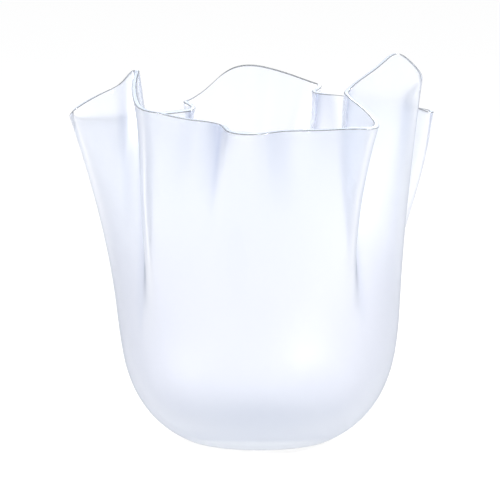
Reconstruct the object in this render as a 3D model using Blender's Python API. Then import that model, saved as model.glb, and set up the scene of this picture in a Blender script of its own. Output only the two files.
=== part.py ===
"""Handkerchief vase: one sheet of satin glass, blown as a round bowl and drawn up into loose folds.

The wall is a plain beaker, round at the belly, that leaves the circle more and more on its way up
to the lip. Each fold line says where one ridge or valley passes at the waist and at the lip. Wide
folds reach far down the wall, and narrow pleats die out close below the lip.
"""
import math

import bmesh
import bpy
import numpy as np

MM = 0.001

# Sizes of the vase, in metres
FOOT_RADIUS = 0.052
BELLY_RADIUS = 0.0985
BOWL_HEIGHT = 0.098
LIP_LEVEL = 0.232
FOLD_START = 0.062
LIP_WALL = 0.0035
FLOOR_WALL = 0.008
EDGE_ROUND = 0.0009

# How round the bowl's side is: 2 is an ellipse, and more is squarer
BOWL_SQUARENESS = 2.6
# How far up the folded part the waist lies, as a share of it
WAIST_SHARE = 0.62

# How quickly the folds die out below the lip, for a fold that goes once round and for each one more
WIDE_FADE = 1.5
WIDE_FADE_STEP = 0.045
NARROW_FADE = 2.0
NARROW_FADE_STEP = 0.13
RISE_FADE = 1.25
RISE_FADE_STEP = 0.12
# Folds this many times round or wider also follow the waist
WIDE_FOLDS = 10.0
FINEST_FOLD = 60

# How finely the wall is built
SAMPLES = 720
COLUMNS = 112
BOWL_ROWS = 8
WALL_ROWS = 13
ROWS_TOWARD_LIP = 0.8
TURN_WEIGHT = 16.0 * MM

# Each ridge and valley of the wall: its bearing on the belly in degrees, counter-clockwise from the
# right seen from above, then its offset from the plain beaker in millimetres, out and onward round
# the circle and up at the lip, and out and onward at the waist
FOLD_LINES = {
    "left front ridge": (225, (17.5, 14, 7.5), (14, 0.5)),
    "front panel, left": (238, (10, 13, 3), (8.5, 0.5)),
    "centre pleat, left valley": (250, (3, 10, -1), (5.5, 3)),
    "centre pleat, left side": (254, (11.5, 8, -3), (4, 1.5)),
    "centre pleat, crest": (265, (21.5, 4, -5), (1.5, 1.5)),
    "centre pleat, right side": (275, (9.5, -2.5, -5), (1, 1.5)),
    "centre pleat, right valley": (280, (6, -4, -4.5), (0.5, 1.5)),
    "front panel, right": (296, (10.5, -0.5, -4), (3, 2.5)),
    "front panel, far right": (304, (14, 4, -4), (4, 3.5)),
    "right front ridge": (313, (5, 14.5, -3), (-5, 5)),
    "right front ridge, back": (317, (-11.5, 18, 2.5), (-14, 5)),
    "right front valley": (328, (-35, 16, 13.5), (-24, 3)),
    "right flap": (344, (-18, 27, 31), (-11.5, 19.5)),
    "right flap, peak": (352, (-4, 28.5, 38.5), (-1, 20.5)),
    "right flap, back": (359, (9.5, 26, 31.5), (6, 19)),
    "right ridge": (6, (21, 23.5, 19.5), (10.5, 18)),
    "right valley": (20, (22, 17, 0), (16, 5.5)),
    "right back ridge, side": (25.5, (33, 3, -5), (21, -4.5)),
    "right back ridge": (31, (40.5, -10.5, -7.5), (27, -9)),
    "right back ridge, far side": (37, (43.5, -20, -7), (28, -10)),
    "back panel, far right": (43, (42, -21, -6), (28.5, -11)),
    "back panel, middle right": (52, (37, -18, -3), (25, -12.5)),
    "back panel, right": (62, (23, -7, 0.5), (18.5, -12)),
    "right back pleat, start": (69, (13.5, -10, 2.5), (14.5, -11)),
    "right back pleat, near valley": (72, (12.5, -10, 3.5), (13.5, -11)),
    "right back pleat, far valley": (75, (16, -13.5, 4.5), (12, -11)),
    "right back pleat, side": (78, (21.5, -20.5, 5), (11, -11.5)),
    "right back pleat, near crest": (81, (25.5, -27.5, 6.5), (10, -12.5)),
    "right back pleat, far crest": (84, (28.5, -31.5, 7), (9, -13.5)),
    "right back pleat, end": (87, (28, -32.5, 8.5), (8, -14.5)),
    "back panel, start": (91, (26.5, -34, 11), (7, -15.5)),
    "back panel, top": (101, (28.5, -23.5, 20), (5.5, -16.5)),
    "back panel, left": (121, (22, -24.5, 3), (7.5, -20.5)),
    "left back pleat, crest": (128, (19, -25, -3), (8, -23.5)),
    "left back pleat, side": (132, (12.5, -26, -3.5), (8.5, -24.5)),
    "left back pleat, valley": (137, (-1, -32, -6), (9, -26)),
    "left back panel, start": (143, (-4, -30, -7.5), (9.5, -26.5)),
    "left back panel": (163, (10.5, -6.5, -8), (11, -17)),
    "left ridge, back": (176, (28, 15.5, -5), (15, 0.5)),
    "left ridge": (182, (33.5, 20.5, -1), (15, 4)),
    "left panel": (194, (11, -4.5, 14.5), (4.5, 2.5)),
    "left panel, far": (200, (-3.5, -20, 20.5), (-2, -1)),
    "left valley, near side": (205, (-13, -28, 28), (-6, -1)),
    "left valley, far side": (208, (-16, -29.5, 28.5), (-7, -0.5)),
    "left inner wall, back": (212, (-8, -20.5, 22.5), (-6.5, 1.5)),
    "left inner wall": (217, (10.5, 3, 12.5), (2, 3)),
}

GLASS_COLOUR = (0.90, 0.93, 1.0, 1.0)
GLASS_ROUGHNESS = 0.35
GLASS_TRANSMISSION = 0.8
GLASS_IOR = 1.5


def clear_scene():
    for thing in list(bpy.data.objects):
        bpy.data.objects.remove(thing, do_unlink=True)


def closed_curve(bearings, places, at):
    """Reads, at some bearings, the smooth closed curve that passes through the places given."""
    count = len(bearings)
    gaps = np.diff(np.append(bearings, bearings[0] + 360.0))
    slopes = (np.roll(places, -1, axis=0) - places) / gaps[:, None]
    terms = np.zeros((count, count))
    totals = np.zeros(places.shape)
    for i in range(count):
        before, after = gaps[i - 1], gaps[i]
        terms[i, i - 1] += after
        terms[i, i] += 2.0 * (before + after)
        terms[i, (i + 1) % count] += before
        totals[i] = 3.0 * (after * slopes[i - 1] + before * slopes[i])
    tangents = np.linalg.solve(terms, totals)
    turned = bearings[0] + (at - bearings[0]) % 360.0
    start = np.searchsorted(bearings, turned, side="right") - 1
    end = (start + 1) % count
    gap = gaps[start][:, None]
    u = ((turned - bearings[start]) / gaps[start])[:, None]
    near = (2 * u**3 - 3 * u**2 + 1) * places[start] + (u**3 - 2 * u**2 + u) * gap * tangents[start]
    far = (3 * u**2 - 2 * u**3) * places[end] + (u**3 - u**2) * gap * tangents[end]
    return near + far


def fold_curves(bearings):
    """How far the lip and the waist leave the plain beaker, in world directions, at each bearing."""
    lines = sorted((bearing, *lip, *waist) for bearing, lip, waist in FOLD_LINES.values())
    table = np.array(lines, float)
    angle = np.radians(table[:, 0])
    outward = np.stack([np.cos(angle), np.sin(angle)], axis=1)
    onward = np.stack([-np.sin(angle), np.cos(angle)], axis=1)
    corner = BELLY_RADIUS * outward
    lip = corner + MM * (table[:, 1:2] * outward + table[:, 2:3] * onward)
    waist = corner + MM * (table[:, 4:5] * outward + table[:, 5:6] * onward)
    rise = MM * table[:, 3:4]
    read = closed_curve(table[:, 0], np.hstack([lip, waist, rise]), bearings)
    turn = np.radians(bearings)
    circle = BELLY_RADIUS * np.stack([np.cos(turn), np.sin(turn)], axis=1)
    return read[:, 0:2] - circle, read[:, 2:4] - circle, read[:, 4:5]


def column_bearings(bearings, lip):
    """Chooses where the columns stand: closer together where the lip turns sharply."""
    step = np.roll(lip, -1, axis=0) - lip
    length = np.linalg.norm(step, axis=1)
    heading = np.unwrap(np.arctan2(step[:, 1], step[:, 0]))
    turning = np.abs(np.diff(heading, append=heading[0] + 2 * math.pi))
    travelled = np.cumsum(length + TURN_WEIGHT * turning)
    wanted = np.arange(COLUMNS) / COLUMNS * travelled[-1]
    return np.interp(wanted, np.append(0.0, travelled), np.append(bearings, 360.0))


def bowl_profile(share):
    """Radius and height of the bowl's side: share 0 is the foot's rim, and 1 is the full belly."""
    power = 2.0 / BOWL_SQUARENESS
    first = math.asin((FOOT_RADIUS / BELLY_RADIUS) ** (1.0 / power))
    angle = first + (math.pi / 2 - first) * share
    radius = BELLY_RADIUS * math.sin(angle) ** power
    height = BOWL_HEIGHT * (1.0 - (max(0.0, math.cos(angle)) / math.cos(first)) ** power)
    return radius, height


def wall_levels():
    """Radius and height of every ring of the plain beaker, from the foot's rim up to the lip."""
    levels = [bowl_profile(row / BOWL_ROWS) for row in range(BOWL_ROWS + 1)]
    for row in range(1, WALL_ROWS + 1):
        share = 1.0 - (1.0 - row / WALL_ROWS) ** (1.0 / ROWS_TOWARD_LIP)
        levels.append((BELLY_RADIUS, BOWL_HEIGHT + share * (LIP_LEVEL - BOWL_HEIGHT)))
    return levels


def relax(folds, weights):
    """Adds up the folds of every width, each as strong as its weight."""
    return np.fft.irfft(folds * weights[:, None], SAMPLES, axis=0)


def wall_rings():
    """The places of the outer face's rings, the lowest first, as arrays of COLUMNS points."""
    bearings = np.arange(SAMPLES) * 360.0 / SAMPLES
    lip, waist, rise = fold_curves(bearings)
    turn = np.radians(bearings)
    circle = np.stack([np.cos(turn), np.sin(turn)], axis=1)
    columns = column_bearings(bearings, lip + BELLY_RADIUS * circle)
    lip_folds, waist_folds, rise_folds = (np.fft.rfft(part, axis=0) for part in (lip, waist, rise))
    width = np.arange(len(rise_folds))
    kept = width <= FINEST_FOLD
    wide = kept / (1.0 + (width / WIDE_FOLDS) ** 4)
    narrow = kept - wide
    rings = []
    for radius, height in wall_levels():
        t = max(0.0, (height - FOLD_START) / (LIP_LEVEL - FOLD_START))
        reach = WIDE_FADE + WIDE_FADE_STEP * width
        at_waist = (t / WAIST_SHARE) ** reach * (1 - t) / (1 - WAIST_SHARE)
        at_lip = t**reach * (t - WAIST_SHARE) / (1 - WAIST_SHARE)
        short = t ** (NARROW_FADE + NARROW_FADE_STEP * width)
        drift = relax(waist_folds, kept * at_waist) + relax(lip_folds, wide * at_lip + narrow * short)
        lift = relax(rise_folds, kept * t ** (RISE_FADE + RISE_FADE_STEP * width))
        ring = np.hstack([radius * circle + drift, height + lift])
        rings.append([np.interp(columns, bearings, part, period=360.0) for part in ring.T])
    return [np.transpose(ring) for ring in rings]


def outer_face(name):
    """The outer face: the flat foot and the folded wall, with a vertex group for the wall's thickness."""
    rings = wall_rings()
    bm = bmesh.new()
    rows = [[bm.verts.new(place) for place in ring] for ring in rings]
    bm.faces.new(list(reversed(rows[0])))
    for lower, upper in zip(rows, rows[1:]):
        for i in range(COLUMNS):
            j = (i + 1) % COLUMNS
            bm.faces.new((lower[i], lower[j], upper[j], upper[i]))
    mesh = bpy.data.meshes.new(name)
    bm.normal_update()
    bm.to_mesh(mesh)
    bm.free()
    vase = bpy.data.objects.new(name, mesh)
    bpy.context.scene.collection.objects.link(vase)
    heavy = vase.vertex_groups.new(name="thick glass")
    for row, (_, height) in enumerate(wall_levels()):
        weight = max(0.0, 1.0 - height / BOWL_HEIGHT) ** 2
        heavy.add(range(row * COLUMNS, (row + 1) * COLUMNS), weight, "REPLACE")
    return vase


def thicken(vase):
    """Gives the sheet its glass: thick under the bowl and thin at the lip."""
    solid = vase.modifiers.new("glass", "SOLIDIFY")
    solid.thickness = FLOOR_WALL
    solid.offset = -1.0
    solid.vertex_group = "thick glass"
    solid.thickness_vertex_group = LIP_WALL / FLOOR_WALL
    solid.use_even_offset = False


def round_lip(vase):
    """Rounds the two edges of the polished lip, the only sharp edges of the vase."""
    soft = vase.modifiers.new("polished lip", "BEVEL")
    soft.width = EDGE_ROUND
    soft.segments = 2
    soft.limit_method = "ANGLE"
    soft.angle_limit = math.radians(60)
    soft.use_clamp_overlap = False


def satin_glass():
    material = bpy.data.materials.new("satin glass")
    material.use_nodes = True
    shader = material.node_tree.nodes["Principled BSDF"]
    shader.inputs["Base Color"].default_value = GLASS_COLOUR
    shader.inputs["Roughness"].default_value = GLASS_ROUGHNESS
    shader.inputs["Metallic"].default_value = 0.0
    shader.inputs["Transmission Weight"].default_value = GLASS_TRANSMISSION
    shader.inputs["IOR"].default_value = GLASS_IOR
    return material


def build_vase():
    vase = outer_face("vase")
    vase.data.materials.append(satin_glass())
    vase.data.shade_smooth()
    thicken(vase)
    round_lip(vase)
    return vase


clear_scene()
build_vase()
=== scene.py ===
"""Handkerchief vase: the folded satin glass, its lamps, its floor and the camera.

The glass is made the way its solid is made, only finer. A plain beaker leaves its circle more and
more on the way up to the lip, along the same named fold lines. Wide folds reach far down the wall,
and narrow pleats die out below the lip, a little later than they do in the solid.
"""
import math

import bpy
import numpy as np
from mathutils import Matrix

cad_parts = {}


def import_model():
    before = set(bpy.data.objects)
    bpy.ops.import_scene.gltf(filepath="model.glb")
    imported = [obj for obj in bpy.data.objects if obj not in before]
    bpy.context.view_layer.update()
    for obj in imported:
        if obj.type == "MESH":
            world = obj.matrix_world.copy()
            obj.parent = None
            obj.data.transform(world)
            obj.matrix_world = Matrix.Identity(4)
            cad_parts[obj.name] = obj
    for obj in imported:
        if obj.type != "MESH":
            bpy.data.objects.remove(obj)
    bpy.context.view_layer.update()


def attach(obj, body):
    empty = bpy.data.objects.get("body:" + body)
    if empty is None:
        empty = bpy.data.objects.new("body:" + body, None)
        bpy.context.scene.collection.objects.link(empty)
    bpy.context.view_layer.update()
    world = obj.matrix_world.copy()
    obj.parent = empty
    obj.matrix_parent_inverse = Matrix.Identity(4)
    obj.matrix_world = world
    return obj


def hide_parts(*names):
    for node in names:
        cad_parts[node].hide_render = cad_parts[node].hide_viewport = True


MM = 0.001

# Sizes of the vase, in metres, as in its solid
FOOT_RADIUS = 0.052
BELLY_RADIUS = 0.0985
BOWL_HEIGHT = 0.098
LIP_LEVEL = 0.232
FOLD_START = 0.062
LIP_WALL = 0.0035
FLOOR_WALL = 0.008

# How far the lip's edges are rounded, in metres, and how sharp an edge has to be for that
LIP_ROUND = 0.0006
LIP_CORNER = math.radians(60)

# How round the bowl's side is, and how far up the folded part the waist lies
BOWL_SQUARENESS = 2.6
WAIST_SHARE = 0.62

# How quickly the folds die out below the lip, for a fold that goes once round and for each one more
WIDE_FADE = (1.5, 0.045)
NARROW_FADE = (1.5, 0.03)
RISE_FADE = (1.25, 0.12)

# Folds that go this many times round or fewer also follow the waist, how sharply that stops for
# narrower ones, and how many times round the narrowest fold goes
WIDE_FOLDS = 16.0
WIDE_TO_NARROW = 4.0
FINEST_FOLD = 60

# How the wall thickens toward the foot
FOOT_THICKENING = 2.0

# How finely the glass is built: the steps round it, the rows up it, how the rows crowd toward the
# lip, how many metres of lip one radian of turning counts for, the steps across the rounded lip, and
# how near, in metres, two points are made one
SAMPLES = 1440
COLUMNS = 480
FOOT_ROWS = 4
BOWL_ROWS = 26
WALL_ROWS = 54
ROWS_TOWARD_LIP = 0.8
TURN_WEIGHT = 0.016
LIP_STEPS = 4
CLOSING_GAP = 1e-6

# Bends in the sheet, per metre: how tight a valley takes its full painted shade or a ridge its full
# painted light, how tight a ridge must be to take any, as a share of that, how fast the painted tint
# comes, and how often bends are evened out
TIGHT_BEND = 130.0
LEAST_RIDGE = 0.12
BEND_EASE = 0.8
BEND_SMOOTHING = 3

# Each ridge and valley of the wall: its bearing on the belly in degrees, counter-clockwise from the
# right seen from above, then its offset from the plain beaker in millimetres, out and onward round
# the circle and up at the lip, and out and onward at the waist
FOLD_LINES = {
    "left front ridge": (225, (17.5, 14, 7.5), (14, 0.5)),
    "front panel, left": (238, (10, 13, 3), (8.5, 0.5)),
    "centre pleat, left valley": (250, (3, 10, -1), (5.5, 3)),
    "centre pleat, left side": (254, (11.5, 8, -3), (4, 1.5)),
    "centre pleat, crest": (265, (21.5, 4, -5), (1.5, 1.5)),
    "centre pleat, right side": (275, (9.5, -2.5, -5), (1, 1.5)),
    "centre pleat, right valley": (280, (6, -4, -4.5), (0.5, 1.5)),
    "front panel, right": (296, (10.5, -0.5, -4), (3, 2.5)),
    "front panel, far right": (304, (14, 4, -4), (4, 3.5)),
    "right front ridge": (313, (5, 14.5, -3), (-5, 5)),
    "right front ridge, back": (317, (-11.5, 18, 2.5), (-14, 5)),
    "right front valley": (328, (-35, 16, 13.5), (-24, 3)),
    "right flap": (344, (-18, 27, 31), (-11.5, 19.5)),
    "right flap, peak": (352, (-4, 28.5, 38.5), (-1, 20.5)),
    "right flap, back": (359, (9.5, 26, 31.5), (6, 19)),
    "right ridge": (6, (21, 23.5, 19.5), (10.5, 18)),
    "right valley": (20, (22, 17, 0), (16, 5.5)),
    "right back ridge, side": (25.5, (33, 3, -5), (21, -4.5)),
    "right back ridge": (31, (40.5, -10.5, -7.5), (27, -9)),
    "right back ridge, far side": (37, (43.5, -20, -7), (28, -10)),
    "back panel, far right": (43, (42, -21, -6), (28.5, -11)),
    "back panel, middle right": (52, (37, -18, -3), (25, -12.5)),
    "back panel, right": (62, (23, -7, 0.5), (18.5, -12)),
    "right back pleat, start": (69, (13.5, -10, 2.5), (14.5, -11)),
    "right back pleat, near valley": (72, (12.5, -10, 3.5), (13.5, -11)),
    "right back pleat, far valley": (75, (16, -13.5, 4.5), (12, -11)),
    "right back pleat, side": (78, (21.5, -20.5, 5), (11, -11.5)),
    "right back pleat, near crest": (81, (25.5, -27.5, 6.5), (10, -12.5)),
    "right back pleat, far crest": (84, (28.5, -31.5, 7), (9, -13.5)),
    "right back pleat, end": (87, (28, -32.5, 8.5), (8, -14.5)),
    "back panel, start": (91, (26.5, -34, 11), (7, -15.5)),
    "back panel, top": (101, (28.5, -23.5, 20), (5.5, -16.5)),
    "back panel, left": (121, (22, -24.5, 3), (7.5, -20.5)),
    "left back pleat, crest": (128, (19, -25, -3), (8, -23.5)),
    "left back pleat, side": (132, (12.5, -26, -3.5), (8.5, -24.5)),
    "left back pleat, valley": (137, (-1, -32, -6), (9, -26)),
    "left back panel, start": (143, (-4, -30, -7.5), (9.5, -26.5)),
    "left back panel": (163, (10.5, -6.5, -8), (11, -17)),
    "left ridge, back": (176, (28, 15.5, -5), (15, 0.5)),
    "left ridge": (182, (33.5, 20.5, -1), (15, 4)),
    "left panel": (194, (11, -4.5, 14.5), (4.5, 2.5)),
    "left panel, far": (200, (-3.5, -20, 20.5), (-2, -1)),
    "left valley, near side": (205, (-13, -28, 28), (-6, -1)),
    "left valley, far side": (208, (-16, -29.5, 28.5), (-7, -0.5)),
    "left inner wall, back": (212, (-8, -20.5, 22.5), (-6.5, 1.5)),
    "left inner wall": (217, (10.5, 3, 12.5), (2, 3)),
}

# The camera, as the photograph was taken
CAMERA_AIM = (-0.0063, 0.0, 0.133)
CAMERA_DISTANCE = 2.2
CAMERA_TILT = math.radians(8.0)
CAMERA_LENS = 224.9
SENSOR_WIDTH = 36.0

# The glass: its colour in the wall; high in the wall, lighter as painted light; at the thick foot,
# darker, partly for the thicker glass and partly as painted shade; seen edge on; as painted shade in a
# valley and painted light on a ridge; and of the light that goes straight on
WALL_GLASS = (0.908, 0.918, 0.952, 1.0)
UPPER_PAINTED_LIGHT = (0.93, 0.945, 0.972, 1.0)
FOOT_GLASS_AND_PAINTED_SHADE = (0.80, 0.835, 0.885, 1.0)
EDGE_GLASS = (0.02, 0.05, 0.14, 1.0)
VALLEY_PAINTED_SHADE = (0.64, 0.68, 0.79, 1.0)
RIDGE_PAINTED_LIGHT = (1.0, 1.0, 1.0, 1.0)
STRAIGHT_GLASS = (0.95, 0.96, 0.985, 1.0)
SATIN_IOR = 1.48
LIP_IOR = 1.5
LIP_CLEARNESS = 0.75

# Where the upper wall's lighter colour, which is painted light, starts and how far it takes to come,
# in metres, how quickly the foot's darker colour, partly painted shade, goes, and how the edge-on
# colour is spread and held back near the foot
UPPER_WALL = 0.11
UPPER_BLEND = 0.06
FOOT_TINT_FADE = 8.0
FOOT_EDGE_FADE = 2.2
FOOT_EDGE_LOSS = 0.7
EDGE_SOFT = 0.3
SOFT_EDGE_POWER = 2.0
FINE_EDGE_POWER = 6.0

# The satin: the fineness of its grain and its upright streaks, their stretch, and the streaks' share
GRAIN_SCALE = 900.0
STREAK_SCALE = 60.0
STREAK_STRETCH = (1.0, 1.0, 0.12)
STREAK_SHARE = 0.8
LIP_WAVE_SCALE = 120.0

# Past this many reflections, or this many turns of any kind, light goes straight on through the glass
MOST_REFLECTIONS = 2.5
MOST_TURNS = 7.5

# The floor, as half its side in metres, its paint, and how it looks through the glass: darker close
# under the vase as a painted shadow, out in the open, and mirrored in the glass
FLOOR_REACH = 14.0
FLOOR_PAINT = (0.95, 0.95, 0.95, 1.0)
FLOOR_ROUGHNESS = 0.7
FLOOR_PAINTED_SHADOW = (1.07, 1.09, 1.13, 1.0)
FLOOR_OPEN = (1.13, 1.14, 1.18, 1.0)
FLOOR_MIRRORED = (0.90, 0.93, 0.99, 1.0)
PAINTED_SHADOW_REACH = 0.05
PAINTED_SHADOW_FADE = 0.10

# How much of the floor's white is its own, seen straight and seen through glass: the rest takes shadow
OWN_WHITE = 0.9
OWN_WHITE_THROUGH = 0.97

# The room: soft light panels at its four corners with darker gaps between, dimmer toward the right
WHITE = (1.0, 1.0, 1.0, 1.0)
ROOM_LIGHT = (0.85, 0.85, 0.85, 1.0)
PANEL_GAP = (0.55, 0.61, 0.76, 1.0)
PANEL_LIGHT = (1.22, 1.24, 1.30, 1.0)
PANELS = 4.0
PANEL_EDGE = 0.6
PANEL_STRENGTH = 0.85
PANEL_SLANT = 0.15

# Each lamp: its place in metres and its power in watts
LAMPS = {
    "left lamp": ((-1.55, -1.13, 1.34), 80.0),
    "right lamp": ((1.91, 0.27, 1.27), 150.0),
}
LAMP_SIZE = 0.2


class Value:
    """One value in a node tree. Arithmetic on it adds the node that does it."""

    def __init__(self, bench, socket):
        self.bench = bench
        self.socket = socket
        self.is_vector = socket.type == "VECTOR"

    def math(self, operation, *others):
        return self.bench.math(operation, self, *others)

    def held(self):
        """The value, held between 0 and 1."""
        return self.math("MAXIMUM", 0.0).math("MINIMUM", 1.0)

    def __add__(self, other):
        return self.bench.math("ADD", self, other)

    def __radd__(self, other):
        return self.bench.math("ADD", other, self)

    def __sub__(self, other):
        return self.bench.math("SUBTRACT", self, other)

    def __rsub__(self, other):
        return self.bench.math("SUBTRACT", other, self)

    def __mul__(self, other):
        return self.bench.math("MULTIPLY", self, other)

    def __rmul__(self, other):
        return self.bench.math("MULTIPLY", other, self)

    def __truediv__(self, other):
        return self.bench.math("DIVIDE", self, other)

    def __rtruediv__(self, other):
        return self.bench.math("DIVIDE", other, self)

    def __pow__(self, other):
        return self.bench.math("POWER", self, other)


class Bench:
    """A node tree while it is being put together."""

    def __init__(self, tree):
        self.tree = tree

    def plug(self, socket, value):
        if isinstance(value, Value):
            self.tree.links.new(value.socket, socket)
        else:
            socket.default_value = value

    def add(self, kind, settings=None, values=None):
        """Adds any node: its settings first, and then what goes into its sockets."""
        node = self.tree.nodes.new(kind)
        for name, setting in (settings or {}).items():
            setattr(node, name, setting)
        for name, value in (values or {}).items():
            socket = next(s for s in node.inputs if s.enabled and s.name == name)
            self.plug(socket, value)
        return node

    def out(self, node, name):
        return Value(self, next(s for s in node.outputs if s.enabled and s.name == name))

    def math(self, operation, *values):
        """A Math node, or a Vector Math node where one of the values is a vector."""
        vectors = [v for v in values if isinstance(v, tuple) or getattr(v, "is_vector", False)]
        if vectors and operation == "MULTIPLY" and len(vectors) < len(values):
            plain = next(v for v in values if v is not vectors[0])
            values = {"Vector": vectors[0], "Scale": plain}
            return self.out(self.add("ShaderNodeVectorMath", {"operation": "SCALE"}, values), "Vector")
        node = self.add("ShaderNodeVectorMath" if vectors else "ShaderNodeMath", {"operation": operation})
        for socket, value in zip(node.inputs, values):
            self.plug(socket, value)
        return Value(self, node.outputs[0])

    def blend(self, share, first, second):
        """One colour that turns into another."""
        values = {"Factor": share, "A": first, "B": second}
        return self.out(self.add("ShaderNodeMix", {"data_type": "RGBA"}, values), "Result")

    def finish_with(self, share, first, second):
        """Sends one shader that turns into another to the material's output."""
        mixed = self.add("ShaderNodeMixShader", values={"Fac": share})
        self.tree.links.new(first.outputs[0], mixed.inputs[1])
        self.tree.links.new(second.outputs[0], mixed.inputs[2])
        self.tree.links.new(mixed.outputs[0], self.tree.nodes["Material Output"].inputs["Surface"])

    def vector(self, x, y, z):
        return self.out(self.add("ShaderNodeCombineXYZ", values={"X": x, "Y": y, "Z": z}), "Vector")

    def parts(self, vector):
        node = self.add("ShaderNodeSeparateXYZ", values={"Vector": vector})
        return [self.out(node, axis) for axis in "XYZ"]


def closed_curve(bearings, places, at):
    """Reads, at some bearings, the smooth closed curve that passes through the places given."""
    count = len(bearings)
    gaps = np.diff(np.append(bearings, bearings[0] + 360.0))
    slopes = (np.roll(places, -1, axis=0) - places) / gaps[:, None]
    terms = np.zeros((count, count))
    totals = np.zeros(places.shape)
    for i in range(count):
        before, after = gaps[i - 1], gaps[i]
        terms[i, i - 1] += after
        terms[i, i] += 2.0 * (before + after)
        terms[i, (i + 1) % count] += before
        totals[i] = 3.0 * (after * slopes[i - 1] + before * slopes[i])
    tangents = np.linalg.solve(terms, totals)
    turned = bearings[0] + (at - bearings[0]) % 360.0
    start = np.searchsorted(bearings, turned, side="right") - 1
    end = (start + 1) % count
    gap = gaps[start][:, None]
    u = ((turned - bearings[start]) / gaps[start])[:, None]
    near = (2 * u**3 - 3 * u**2 + 1) * places[start] + (u**3 - 2 * u**2 + u) * gap * tangents[start]
    far = (3 * u**2 - 2 * u**3) * places[end] + (u**3 - u**2) * gap * tangents[end]
    return near + far


def fold_curves(bearings):
    """How far the lip and the waist leave the plain beaker, in world directions, at each bearing."""
    lines = sorted((bearing, *lip, *waist) for bearing, lip, waist in FOLD_LINES.values())
    table = np.array(lines, float)
    angle = np.radians(table[:, 0])
    outward = np.stack([np.cos(angle), np.sin(angle)], axis=1)
    onward = np.stack([-np.sin(angle), np.cos(angle)], axis=1)
    corner = BELLY_RADIUS * outward
    lip = corner + MM * (table[:, 1:2] * outward + table[:, 2:3] * onward)
    waist = corner + MM * (table[:, 4:5] * outward + table[:, 5:6] * onward)
    read = closed_curve(table[:, 0], np.hstack([lip, waist, MM * table[:, 3:4]]), bearings)
    turn = np.radians(bearings)
    circle = BELLY_RADIUS * np.stack([np.cos(turn), np.sin(turn)], axis=1)
    flat = np.zeros((len(bearings), 1))
    return np.hstack([read[:, 0:2] - circle, read[:, 4:5]]), np.hstack([read[:, 2:4] - circle, flat])


def column_bearings(bearings, lip):
    """Chooses where the columns stand: closer together where the lip turns sharply."""
    step = np.roll(lip, -1, axis=0) - lip
    length = np.linalg.norm(step, axis=1)
    heading = np.unwrap(np.arctan2(step[:, 1], step[:, 0]))
    turning = np.abs(np.diff(heading, append=heading[0] + 2 * math.pi))
    travelled = np.cumsum(length + TURN_WEIGHT * turning)
    wanted = np.arange(COLUMNS) / COLUMNS * travelled[-1]
    return np.interp(wanted, np.append(0.0, travelled), np.append(bearings, 360.0))


def fold_plan():
    """The plan that the glass is folded by: a point for each column, and for each width of fold.

    Point n carries the bearing of column n, and how strong the fold that goes n times round is.
    """
    bearings = np.arange(SAMPLES) * 360.0 / SAMPLES
    lip, waist = fold_curves(bearings)
    turn = np.radians(bearings)
    circle = BELLY_RADIUS * np.stack([np.cos(turn), np.sin(turn)], axis=1)
    mesh = bpy.data.meshes.new("fold plan")
    mesh.from_pydata([(0.0, 0.0, 0.0)] * COLUMNS, [], [])
    columns = np.radians(column_bearings(bearings, lip[:, :2] + circle))
    mesh.attributes.new("bearing", "FLOAT", "POINT").data.foreach_set("value", columns.astype(np.float32))
    for name, curve in (("lip", lip), ("waist", waist)):
        widths = np.fft.rfft(curve, axis=0)[: FINEST_FOLD + 1] / SAMPLES
        widths[1:] *= 2.0
        for half, strength in (("even", widths.real), ("odd", -widths.imag)):
            full = np.zeros((COLUMNS, 3), np.float32)
            full[: FINEST_FOLD + 1] = strength
            attribute = mesh.attributes.new(f"{name} {half}", "FLOAT_VECTOR", "POINT")
            attribute.data.foreach_set("vector", full.ravel())
    return mesh


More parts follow.
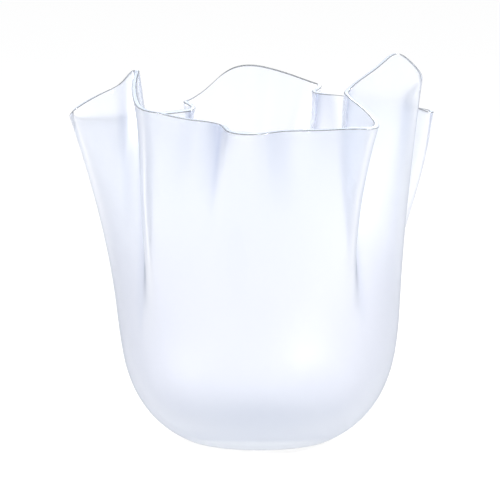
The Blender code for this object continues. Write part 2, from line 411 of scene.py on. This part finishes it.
def folding_tree():
    """The node tree that draws the sheet of glass up from its foot and folds it."""
    tree = bpy.data.node_groups.new("folded glass", "GeometryNodeTree")
    face = tree.interface
    face.new_socket("Fold plan", in_out="INPUT", socket_type="NodeSocketGeometry")
    lengths = ("Foot radius", "Belly radius", "Bowl height", "Lip level", "Fold start")
    for name in (*lengths, "Waist share", "Squareness"):
        face.new_socket(name, in_out="INPUT", socket_type="NodeSocketFloat")
    for name in ("Columns", "Foot rows", "Bowl rows", "Wall rows", "Finest fold"):
        face.new_socket(name, in_out="INPUT", socket_type="NodeSocketInt")
    face.new_socket("Glass", in_out="INPUT", socket_type="NodeSocketMaterial")
    face.new_socket("Sheet", in_out="OUTPUT", socket_type="NodeSocketGeometry")
    bench = Bench(tree)
    given_node = bench.add("NodeGroupInput")
    given = {socket.name: Value(bench, socket) for socket in given_node.outputs if socket.name}
    foot_rows, bowl_rows, wall_rows = given["Foot rows"], given["Bowl rows"], given["Wall rows"]

    def stored(sheet, name, value, data_type):
        values = {"Geometry": sheet, "Name": name, "Value": value}
        node = bench.add("GeometryNodeStoreNamedAttribute", {"data_type": data_type}, values)
        return bench.out(node, "Geometry")

    def read(name, data_type):
        node = bench.add("GeometryNodeInputNamedAttribute", {"data_type": data_type}, {"Name": name})
        return bench.out(node, "Attribute")

    def planned(name, data_type, index):
        values = {"Geometry": given["Fold plan"], "Value": read(name, data_type), "Index": index}
        return bench.out(bench.add("GeometryNodeSampleIndex", {"data_type": data_type}, values), "Value")

    # An unrolled sheet: x counts the columns, and y the rows
    rows = foot_rows + bowl_rows + wall_rows
    grid_values = {"Size X": 1.0, "Size Y": 1.0, "Vertices X": given["Columns"] + 1, "Vertices Y": rows + 1}
    sheet = bench.out(bench.add("GeometryNodeMeshGrid", values=grid_values), "Mesh")
    place = bench.out(bench.add("GeometryNodeInputPosition"), "Position")
    x, y, _ = bench.parts(place)
    column = ((x + 0.5) * given["Columns"]).math("ROUND").math("MODULO", given["Columns"])
    row = ((y + 0.5) * rows).math("ROUND")
    foot_share = (row / foot_rows).math("MINIMUM", 1.0)
    bowl_share = ((row - foot_rows) / bowl_rows).held()
    wall_share = ((row - foot_rows - bowl_rows) / wall_rows).math("MAXIMUM", 0.0)
    sheet = stored(sheet, "bearing", planned("bearing", "FLOAT", column), "FLOAT")

    # The plain beaker: a flat foot, a bowl with a squarish round side, and a straight wall
    power = 2.0 / given["Squareness"]
    first = ((given["Foot radius"] / given["Belly radius"]) ** (1.0 / power)).math("ARCSINE")
    angle = first + (math.pi / 2 - first) * bowl_share
    radius = given["Belly radius"] * angle.math("SINE") ** power * foot_share
    closing = (angle.math("COSINE").math("MAXIMUM", 0.0) / first.math("COSINE")) ** power
    drawn = 1.0 - (1.0 - wall_share).math("MAXIMUM", 0.0) ** (1.0 / ROWS_TOWARD_LIP)
    height = given["Bowl height"] * (1.0 - closing) + (given["Lip level"] - given["Bowl height"]) * drawn
    sheet = stored(sheet, "radius", radius, "FLOAT")
    sheet = stored(sheet, "height", height, "FLOAT")
    radius, height, bearing = read("radius", "FLOAT"), read("height", "FLOAT"), read("bearing", "FLOAT")
    upper = ((height - given["Fold start"]) / (given["Lip level"] - given["Fold start"])).math("MAXIMUM", 0.0)
    sheet = stored(sheet, "folded share", upper, "FLOAT")
    plain = bench.vector(radius * bearing.math("COSINE"), radius * bearing.math("SINE"), height)
    sheet = stored(sheet, "plain place", plain, "FLOAT_VECTOR")
    sheet = stored(sheet, "drift", plain * 0.0, "FLOAT_VECTOR")

    # Each turn of the zone adds the folds of one width, the widest first
    start = bench.add("GeometryNodeRepeatInput")
    end = bench.add("GeometryNodeRepeatOutput")
    start.pair_with_output(end)
    bench.plug(start.inputs["Iterations"], given["Finest fold"] + 1)
    bench.plug(start.inputs["Geometry"], sheet)
    width = Value(bench, start.outputs["Iteration"])
    t, waist_share = read("folded share", "FLOAT"), given["Waist share"]
    cosine, sine = (bearing * width).math("COSINE"), (bearing * width).math("SINE")
    folds = {}
    for line in ("lip", "waist"):
        even = planned(line + " even", "FLOAT_VECTOR", width)
        odd = planned(line + " odd", "FLOAT_VECTOR", width)
        folds[line] = even * cosine + odd * sine
    wide = 1.0 / (1.0 + (width / WIDE_FOLDS) ** WIDE_TO_NARROW)
    reach = WIDE_FADE[0] + WIDE_FADE[1] * width
    at_waist = (t / waist_share) ** reach * (1.0 - t) / (1.0 - waist_share)
    at_lip = t ** reach * (t - waist_share) / (1.0 - waist_share)
    short = t ** (NARROW_FADE[0] + NARROW_FADE[1] * width)
    sideways = wide * at_lip + (1.0 - wide) * short
    upwards = t ** (RISE_FADE[0] + RISE_FADE[1] * width)
    lip_share = bench.vector(sideways, sideways, upwards)
    drift = read("drift", "FLOAT_VECTOR") + (folds["waist"] * at_waist + folds["lip"] * lip_share)
    folded = stored(Value(bench, start.outputs["Geometry"]), "drift", drift, "FLOAT_VECTOR")
    bench.plug(end.inputs["Geometry"], folded)

    # The folded sheet, closed at its seam and under its foot
    heavy = (1.0 - height / given["Bowl height"]).math("MAXIMUM", 0.0) ** FOOT_THICKENING
    sheet = stored(Value(bench, end.outputs["Geometry"]), "thick glass", heavy, "FLOAT")
    final = read("plain place", "FLOAT_VECTOR") + read("drift", "FLOAT_VECTOR")
    placed = bench.add("GeometryNodeSetPosition", values={"Geometry": sheet, "Position": final})
    values = {"Geometry": bench.out(placed, "Geometry"), "Distance": CLOSING_GAP}
    closed = bench.add("GeometryNodeMergeByDistance", values=values)
    smooth = bench.add("GeometryNodeSetShadeSmooth", values={"Geometry": bench.out(closed, "Geometry")})
    real = bench.add("GeometryNodeRealizeInstances", values={"Geometry": bench.out(smooth, "Geometry")})
    values = {"Geometry": bench.out(real, "Geometry"), "Material": given["Glass"]}
    dressed = bench.add("GeometryNodeSetMaterial", values=values)
    bench.add("NodeGroupOutput", values={"Sheet": bench.out(dressed, "Geometry")})
    return tree


def baked(piece):
    """Swaps a piece for what its modifiers make of it, as a plain mesh."""
    graph = bpy.context.evaluated_depsgraph_get()
    made = piece.evaluated_get(graph)
    mesh = bpy.data.meshes.new_from_object(made, preserve_all_data_layers=True, depsgraph=graph)
    piece.modifiers.clear()
    piece.data = mesh


def mark_bends(mesh):
    """Notes how tightly the sheet bends at each point, per metre: over 0 in a valley, under 0 on a ridge."""
    places, normals = np.zeros((2, len(mesh.vertices) * 3))
    mesh.vertices.foreach_get("co", places)
    mesh.vertices.foreach_get("normal", normals)
    places, normals = places.reshape(-1, 3), normals.reshape(-1, 3)
    ends = np.zeros(len(mesh.edges) * 2, np.int32)
    mesh.edges.foreach_get("vertices", ends)
    one, other = ends.reshape(-1, 2).T
    valley, ridge = np.zeros((2, len(places)))
    for near, far in ((one, other), (other, one)):
        way = places[far] - places[near]
        bend = 2.0 * (normals[near] * way).sum(axis=1) / (way ** 2).sum(axis=1)
        np.maximum.at(valley, near, bend)
        np.minimum.at(ridge, near, bend)
    bends = np.where(valley > -ridge, valley, ridge)
    for _ in range(BEND_SMOOTHING):
        total, shares = bends.copy(), np.ones(len(bends))
        for near, far in ((one, other), (other, one)):
            np.add.at(total, near, bends[far])
            np.add.at(shares, near, 1.0)
        bends = total / shares
    mesh.attributes.new("bend", "FLOAT", "POINT").data.foreach_set("value", bends.astype(np.float32))


def glass_vase(satin, inside, polished, rounded):
    """The vase: the folded sheet, given its wall and its rounded lip."""
    vase = bpy.data.objects.new("folded_glass", fold_plan())
    bpy.context.scene.collection.objects.link(vase)
    folding = vase.modifiers.new("folding", "NODES")
    folding.node_group = folding_tree()
    sizes = {
        "Foot radius": FOOT_RADIUS,
        "Belly radius": BELLY_RADIUS,
        "Bowl height": BOWL_HEIGHT,
        "Lip level": LIP_LEVEL,
        "Fold start": FOLD_START,
        "Waist share": WAIST_SHARE,
        "Squareness": BOWL_SQUARENESS,
        "Columns": COLUMNS,
        "Foot rows": FOOT_ROWS,
        "Bowl rows": BOWL_ROWS,
        "Wall rows": WALL_ROWS,
        "Finest fold": FINEST_FOLD,
        "Glass": satin,
    }
    for socket in folding.node_group.interface.items_tree:
        if socket.name in sizes:
            folding[socket.identifier] = sizes[socket.name]
    baked(vase)
    # The bends set where the valleys' painted shade and the ridges' painted light go
    mark_bends(vase.data)
    weights = np.zeros(len(vase.data.vertices), np.float32)
    vase.data.attributes["thick glass"].data.foreach_get("value", weights)
    heavy = vase.vertex_groups.new(name="thick foot")
    for index, weight in enumerate(weights):
        heavy.add([index], float(weight), "REPLACE")
    vase.data.materials.clear()
    for finish in (satin, inside, polished, rounded):
        vase.data.materials.append(finish)
    wall = vase.modifiers.new("wall", "SOLIDIFY")
    wall.thickness = FLOOR_WALL
    wall.offset = -1.0
    wall.vertex_group = "thick foot"
    wall.thickness_vertex_group = LIP_WALL / FLOOR_WALL
    wall.use_even_offset = False
    wall.material_offset = 1
    wall.material_offset_rim = 2
    lip = vase.modifiers.new("polished lip", "BEVEL")
    lip.width = LIP_ROUND
    lip.segments = LIP_STEPS
    lip.limit_method = "ANGLE"
    lip.angle_limit = LIP_CORNER
    lip.use_clamp_overlap = False
    lip.material = 3
    baked(vase)
    vase.data.shade_smooth()
    return vase


def new_material(name):
    material = bpy.data.materials.new(name)
    material.use_nodes = True
    return material, Bench(material.node_tree), material.node_tree.nodes["Principled BSDF"]


def straight_on(bench, shader, tint):
    """Lets light that has turned many times in the glass go straight on, so that none of it is lost."""
    clear = bench.add("ShaderNodeBsdfTransparent", values={"Color": tint})
    path = bench.add("ShaderNodeLightPath")
    mirrored = bench.out(path, "Glossy Depth").math("GREATER_THAN", MOST_REFLECTIONS)
    turned = bench.out(path, "Ray Depth").math("GREATER_THAN", MOST_TURNS)
    bench.finish_with(mirrored.math("MAXIMUM", turned), shader, clear)


def depth_tint(bench):
    """A tint that deepens where more glass lies in the light's way: edge on, and near the foot.

    Near the foot it is partly painted shade as well, and high in the wall it is lighter, as painted light.
    """
    height = bench.parts(bench.out(bench.add("ShaderNodeTexCoord"), "Object"))[2]
    # Darker toward the foot: partly the thicker glass there, partly painted shade
    low = (1.0 - height / BOWL_HEIGHT).math("MAXIMUM", 0.0)
    # Painted light: the upper wall is given a lighter colour
    high = ((height - UPPER_WALL) / UPPER_BLEND).held()
    plain = bench.blend(high, bench.blend(low ** FOOT_TINT_FADE, WALL_GLASS, FOOT_GLASS_AND_PAINTED_SHADE), UPPER_PAINTED_LIGHT)
    facing = bench.out(bench.add("ShaderNodeLayerWeight", values={"Blend": 0.5}), "Facing")
    edge = EDGE_SOFT * facing ** SOFT_EDGE_POWER + (1.0 - EDGE_SOFT) * facing ** FINE_EDGE_POWER
    return bench.blend(edge * (1.0 - FOOT_EDGE_LOSS * low ** FOOT_EDGE_FADE), plain, EDGE_GLASS)


def satin_glass(name, rough_from, rough_more):
    """Glass with a fine etched satin: nearly clear, with painted shade in the valleys and painted light along
    the ridges, both set by how tightly the sheet bends.
    """
    material, bench, shader = new_material(name)
    place = bench.out(bench.add("ShaderNodeAttribute", {"attribute_name": "plain place"}), "Vector")
    grain = bench.add("ShaderNodeTexNoise", values={"Vector": place, "Scale": GRAIN_SCALE, "Detail": 3.0})
    values = {"Vector": place * STREAK_STRETCH, "Scale": STREAK_SCALE, "Detail": 2.0}
    streaks = bench.add("ShaderNodeTexNoise", values=values)
    worn = STREAK_SHARE * bench.out(streaks, "Fac") + (1.0 - STREAK_SHARE) * bench.out(grain, "Fac")
    bench.plug(shader.inputs["Roughness"], rough_from + rough_more * worn)
    bend = bench.out(bench.add("ShaderNodeAttribute", {"attribute_name": "bend"}), "Fac") / TIGHT_BEND
    # Painted shade in the valleys and painted light on the ridges, by how tightly the sheet bends
    valley = bend.held() ** BEND_EASE
    ridge = (-LEAST_RIDGE - bend).held() ** BEND_EASE
    tint = bench.blend(ridge, bench.blend(valley, depth_tint(bench), VALLEY_PAINTED_SHADE), RIDGE_PAINTED_LIGHT)
    bench.plug(shader.inputs["Base Color"], tint)
    shader.inputs["Transmission Weight"].default_value = 1.0
    shader.inputs["IOR"].default_value = SATIN_IOR
    straight_on(bench, shader, STRAIGHT_GLASS)
    return material


def polished_lip(name, tint, fill):
    """The lip's edge, polished clear by the flame."""
    material, bench, shader = new_material(name)
    place = bench.out(bench.add("ShaderNodeAttribute", {"attribute_name": "plain place"}), "Vector")
    waves = bench.add("ShaderNodeTexNoise", values={"Vector": place, "Scale": LIP_WAVE_SCALE, "Detail": 2.0})
    bench.plug(shader.inputs["Roughness"], 0.06 + 0.08 * bench.out(waves, "Fac"))
    shader.inputs["Base Color"].default_value = tint
    shader.inputs["Transmission Weight"].default_value = LIP_CLEARNESS
    shader.inputs["IOR"].default_value = LIP_IOR
    straight_on(bench, shader, fill)
    return material


def seen_by_glass(bench, path):
    """1 for light that reaches the eye by way of the glass, through it or mirrored in it."""
    return bench.out(path, "Is Transmission Ray").math("MAXIMUM", bench.out(path, "Is Glossy Ray"))


def white_floor():
    """A floor that looks white, and takes some of the vase's shadow. Seen through the glass it shows a
    painted shadow close under the vase.
    """
    mesh = bpy.data.meshes.new("floor")
    near, far = -FLOOR_REACH, FLOOR_REACH
    mesh.from_pydata([(near, near, 0), (far, near, 0), (far, far, 0), (near, far, 0)], [], [(0, 1, 2, 3)])
    floor = bpy.data.objects.new("floor", mesh)
    bpy.context.scene.collection.objects.link(floor)
    material, bench, shader = new_material("white floor")
    shader.inputs["Base Color"].default_value = FLOOR_PAINT
    shader.inputs["Roughness"].default_value = FLOOR_ROUGHNESS
    path = bench.add("ShaderNodeLightPath")
    through = seen_by_glass(bench, path)
    straight = bench.out(path, "Is Camera Ray")
    east, north, _ = bench.parts(bench.out(bench.add("ShaderNodeTexCoord"), "Object"))
    away = (east * east + north * north).math("SQRT")
    # Painted shadow: seen through the glass, the floor glows darker close under the vase
    tone = bench.blend(((away - PAINTED_SHADOW_REACH) / PAINTED_SHADOW_FADE).held(), FLOOR_PAINTED_SHADOW, FLOOR_OPEN)
    tone = bench.blend(bench.out(path, "Is Reflection Ray"), tone, FLOOR_MIRRORED)
    tone = bench.blend(through, WHITE, tone)
    glow = bench.add("ShaderNodeEmission", values={"Color": tone, "Strength": 1.0})
    own = straight * OWN_WHITE + (1.0 - straight) * (through * OWN_WHITE_THROUGH)
    bench.finish_with(own, shader, glow)
    mesh.materials.append(material)


def studio_room():
    """The room round the vase: plain white to the eye, and panels of soft light to the glass."""
    world = bpy.data.worlds.new("studio")
    bpy.context.scene.world = world
    world.use_nodes = True
    bench = Bench(world.node_tree)
    path = bench.add("ShaderNodeLightPath")
    x, y, _ = bench.parts(bench.out(bench.add("ShaderNodeTexCoord"), "Generated"))
    around = bench.math("ARCTAN2", y, x)
    panel = (0.5 - 0.5 * ((around - math.pi / 2) * PANELS).math("COSINE")) ** PANEL_EDGE
    panel = panel * (PANEL_STRENGTH - PANEL_SLANT * around.math("COSINE"))
    light = bench.blend(seen_by_glass(bench, path), ROOM_LIGHT, bench.blend(panel, PANEL_GAP, PANEL_LIGHT))
    light = bench.blend(bench.out(path, "Is Camera Ray"), light, WHITE)
    bench.plug(world.node_tree.nodes["Background"].inputs["Color"], light)


def lamps_and_camera():
    aim = np.array(CAMERA_AIM)
    for name, (place, power) in LAMPS.items():
        light = bpy.data.lights.new(name, "AREA")
        light.shape = "DISK"
        light.size = LAMP_SIZE
        light.energy = power
        lamp = bpy.data.objects.new(name, light)
        bpy.context.scene.collection.objects.link(lamp)
        lamp.location = place
        away = np.array(place) - aim
        flat = math.hypot(away[0], away[1])
        lamp.rotation_euler = (math.atan2(flat, away[2]), 0.0, math.atan2(away[0], -away[1]))
    lens = bpy.data.cameras.new("camera")
    lens.lens = CAMERA_LENS
    lens.sensor_width = SENSOR_WIDTH
    camera = bpy.data.objects.new("camera", lens)
    bpy.context.scene.collection.objects.link(camera)
    away = CAMERA_DISTANCE * np.array([0.0, -math.cos(CAMERA_TILT), math.sin(CAMERA_TILT)])
    camera.location = aim + away
    camera.rotation_euler = (math.pi / 2 - CAMERA_TILT, 0.0, 0.0)
    bpy.context.scene.camera = camera


def build():
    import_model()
    vase = glass_vase(
        satin_glass("satin glass", 0.278, 0.02),
        satin_glass("satin glass inside", 0.14, 0.03),
        polished_lip("polished lip", (0.62, 0.68, 0.76, 1.0), (0.50, 0.54, 0.60, 1.0)),
        # The rounded edges' near-black tint is partly the glass's edge tint, partly painted shade of the
        # rim's dark line
        polished_lip("rounded lip", (0.14, 0.145, 0.145, 1.0), (0.30, 0.31, 0.31, 1.0)),
    )
    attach(vase, "root")
    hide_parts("vase")
    white_floor()
    studio_room()
    lamps_and_camera()
    bpy.context.scene.view_settings.view_transform = "Standard"


build()
